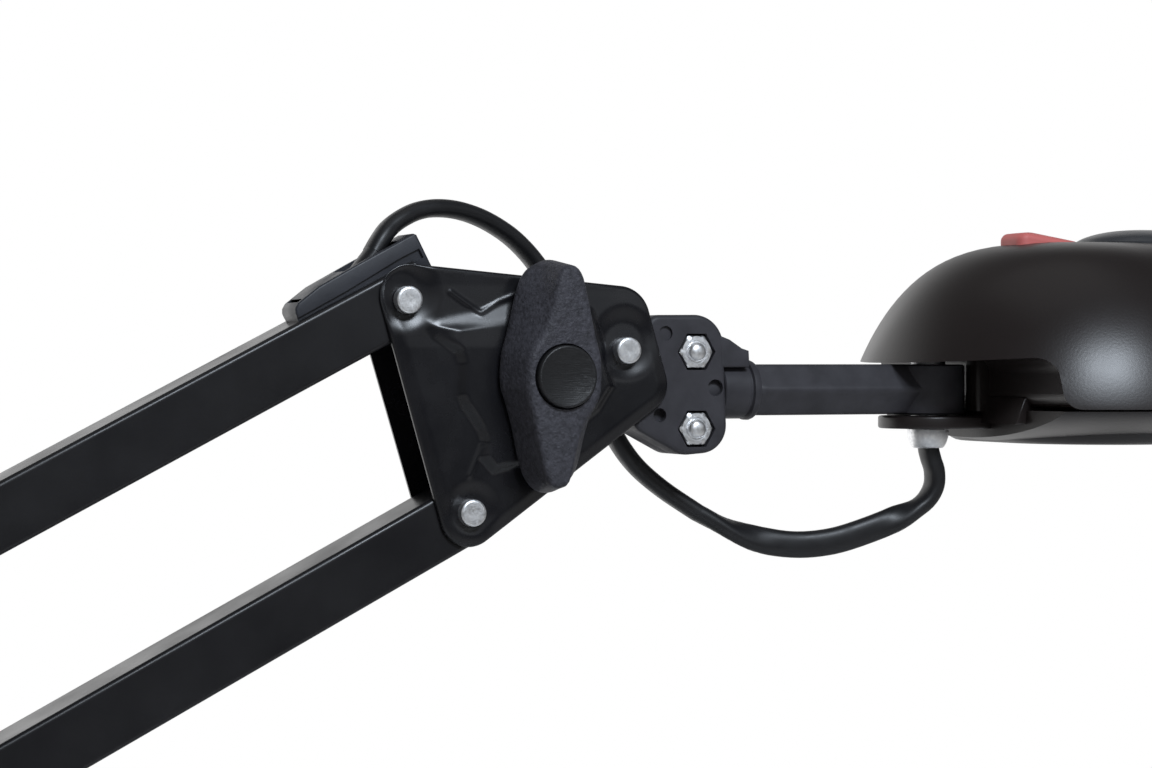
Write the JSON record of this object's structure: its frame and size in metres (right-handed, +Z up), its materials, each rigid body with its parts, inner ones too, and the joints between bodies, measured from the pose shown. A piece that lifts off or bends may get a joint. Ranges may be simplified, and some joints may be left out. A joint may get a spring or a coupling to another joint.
{
  "type": "table lamp",
  "caption": "Sprung-arm LED table lamp: round weighted base, two parallelogram arms of square tube, clamp-knob brackets, a hexagonal stem and a domed oval head.",
  "frame": {"origin": "centre of the base's underside", "axes": "+Z up, +X from the arms towards the head, the lamp's plane is Y = 0, -Y is the clamp knobs' side"},
  "size_m": [0.8086, 0.224, 0.7477],
  "materials": {
    "black_paint": "semi-gloss black powder coat",
    "plate_paint": "glossy black paint on pressed sheet",
    "steel": "turned steel",
    "zinc": "bright zinc plate",
    "pad_rubber": "matte black rubber",
    "cord_rubber": "matte black cord sheath",
    "knob_plastic": "grained black plastic",
    "knuckle_plastic": "grey-black moulded plastic",
    "shell_plastic": "satin black plastic",
    "rocker_red": "matte red plastic",
    "dial_plastic": "glossy grey plastic",
    "diffuser_white": "opal white diffuser",
    "board_white": "white circuit board",
    "board_green": "green circuit board"
  },
  "bodies": {
    "base": {"base_cover": "black_paint", "base_weight": "steel", "base_pad": "pad_rubber", "base_post": "black_paint", "base_screws": "zinc", "base_lead": "cord_rubber", "cord_gland": "knob_plastic", "mains_cord_run": "cord_rubber", "mains_cord_coil": "cord_rubber", "mains_plug": "knob_plastic"},
    "swivel": {"swivel_pin": "steel", "swivel_block": "black_paint", "foot_plate_front": "black_paint", "foot_plate_rear": "black_paint", "foot_rivets": "zinc", "foot_bolt": "zinc", "foot_lead": "cord_rubber"},
    "foot_knob": {"foot_knob": "knob_plastic"},
    "lower_bar_a": {"lower_bar_a": "black_paint", "lower_hoods": "shell_plastic", "lower_lead": "cord_rubber"},
    "lower_bar_b": {"lower_bar_b": "black_paint", "lower_spring": "steel"},
    "elbow": {"elbow_plate_front": "black_paint", "elbow_plate_rear": "black_paint", "elbow_rivets": "zinc", "elbow_bolt": "zinc", "elbow_lead_lower": "cord_rubber", "elbow_lead_upper": "cord_rubber"},
    "elbow_knob": {"elbow_knob": "knob_plastic"},
    "upper_bar_a": {"upper_bar_a": "black_paint", "upper_hood_low": "shell_plastic", "upper_hood_high": "shell_plastic", "upper_lead": "cord_rubber"},
    "upper_bar_b": {"upper_bar_b": "black_paint", "upper_spring": "steel"},
    "head_bracket": {"head_plate_front": "plate_paint", "head_plate_rear": "plate_paint", "head_rivets": "zinc", "head_bolt": "zinc", "head_lead_top": "cord_rubber", "head_lead_mid": "cord_rubber"},
    "head_knob": {"head_knob": "knob_plastic", "head_knob_cap": "knob_plastic"},
    "knuckle": {"knuckle_front": "knuckle_plastic", "knuckle_rear": "knuckle_plastic", "knuckle_bolts": "zinc"},
    "stem": {"head_stem": "knuckle_plastic", "pivot_nipple": "zinc", "pivot_nut": "zinc", "head_lead_end": "cord_rubber"},
    "head": {"head_cover": "shell_plastic", "head_tray": "shell_plastic", "diffuser": "diffuser_white", "led_board": "board_white", "driver_board": "board_green", "head_screws": "zinc", "switch_frame": "knuckle_plastic"},
    "rocker": {"switch_rocker": "rocker_red"},
    "dial": {"dimmer_dial": "dial_plastic"}
  },
  "joints": [
    {"name": "base_swivel", "type": "hinge", "parent": "base", "child": "swivel", "pos_m": [0, 0, 0.0443], "axis": [0, 0, 1], "range_deg": [-170, 170]},
    {"name": "foot_knob_turn", "type": "hinge", "parent": "swivel", "child": "foot_knob", "pos_m": [0.008, 0, 0.0803], "axis": [0, -1, 0], "range_deg": [-90, 180]},
    {"name": "lower_arm_tilt", "type": "hinge", "parent": "swivel", "child": "lower_bar_a", "pos_m": [-0.023, 0, 0.1103], "axis": [0, -1, 0], "range_deg": [-38, 27], "deforming": ["foot_lead"]},
    {"name": "lower_bar_b_tilt", "type": "hinge", "parent": "swivel", "child": "lower_bar_b", "pos_m": [0.023, 0, 0.1103], "axis": [0, -1, 0], "range_deg": [-38, 27]},
    {"name": "elbow_level", "type": "hinge", "parent": "lower_bar_a", "child": "elbow", "pos_m": [-0.13734, 0, 0.46219], "axis": [0, -1, 0], "range_deg": [-27, 38], "deforming": ["elbow_lead_lower"]},
    {"name": "elbow_knob_turn", "type": "hinge", "parent": "elbow", "child": "elbow_knob", "pos_m": [-0.13234, 0, 0.50619], "axis": [0, -1, 0], "range_deg": [-90, 180]},
    {"name": "upper_arm_tilt", "type": "hinge", "parent": "elbow", "child": "upper_bar_a", "pos_m": [-0.12634, 0, 0.55219], "axis": [0, -1, 0], "range_deg": [-52, 52], "deforming": ["elbow_lead_upper"]},
    {"name": "upper_bar_b_tilt", "type": "hinge", "parent": "elbow", "child": "upper_bar_b", "pos_m": [-0.11014, 0, 0.50099], "axis": [0, -1, 0], "range_deg": [-52, 52]},
    {"name": "head_level", "type": "hinge", "parent": "upper_bar_a", "child": "head_bracket", "pos_m": [0.20216, 0, 0.72247], "axis": [0, -1, 0], "range_deg": [-52, 52], "deforming": ["head_lead_top"]},
    {"name": "head_knob_turn", "type": "hinge", "parent": "head_bracket", "child": "head_knob", "pos_m": [0.23616, 0, 0.70417], "axis": [0, -1, 0], "range_deg": [-90, 180]},
    {"name": "head_tilt", "type": "hinge", "parent": "head_bracket", "child": "knuckle", "pos_m": [0.23616, 0, 0.70417], "axis": [0, -1, 0], "range_deg": [-72, 10], "deforming": ["head_lead_mid"]},
    {"name": "stem_twist", "type": "hinge", "parent": "knuckle", "child": "stem", "pos_m": [0.28115, 0, 0.70051], "axis": [1, 0, 0], "range_deg": [-170, 105], "deforming": ["head_lead_end"]},
    {"name": "head_swivel", "type": "hinge", "parent": "stem", "child": "head", "pos_m": [0.34946, 0, 0.70051], "axis": [0, 0, 1], "range_deg": [-90, 90]},
    {"name": "switch_rock", "type": "hinge", "parent": "head", "child": "rocker", "pos_m": [0.38405, 0, 0.73696], "axis": [0, -1, 0], "range_deg": [0, 14]},
    {"name": "dimmer_turn", "type": "hinge", "parent": "head", "child": "dial", "pos_m": [0.41525, 0, 0.73957], "axis": [0, 0, 1], "range_deg": [-140, 140]}
  ],
  "couplings": [
    {"joint": "lower_bar_b_tilt", "follows": "lower_arm_tilt", "ratio": 1},
    {"joint": "elbow_level", "follows": "lower_arm_tilt", "ratio": -1},
    {"joint": "upper_bar_b_tilt", "follows": "upper_arm_tilt", "ratio": 1},
    {"joint": "head_level", "follows": "upper_arm_tilt", "ratio": -1}
  ]
}
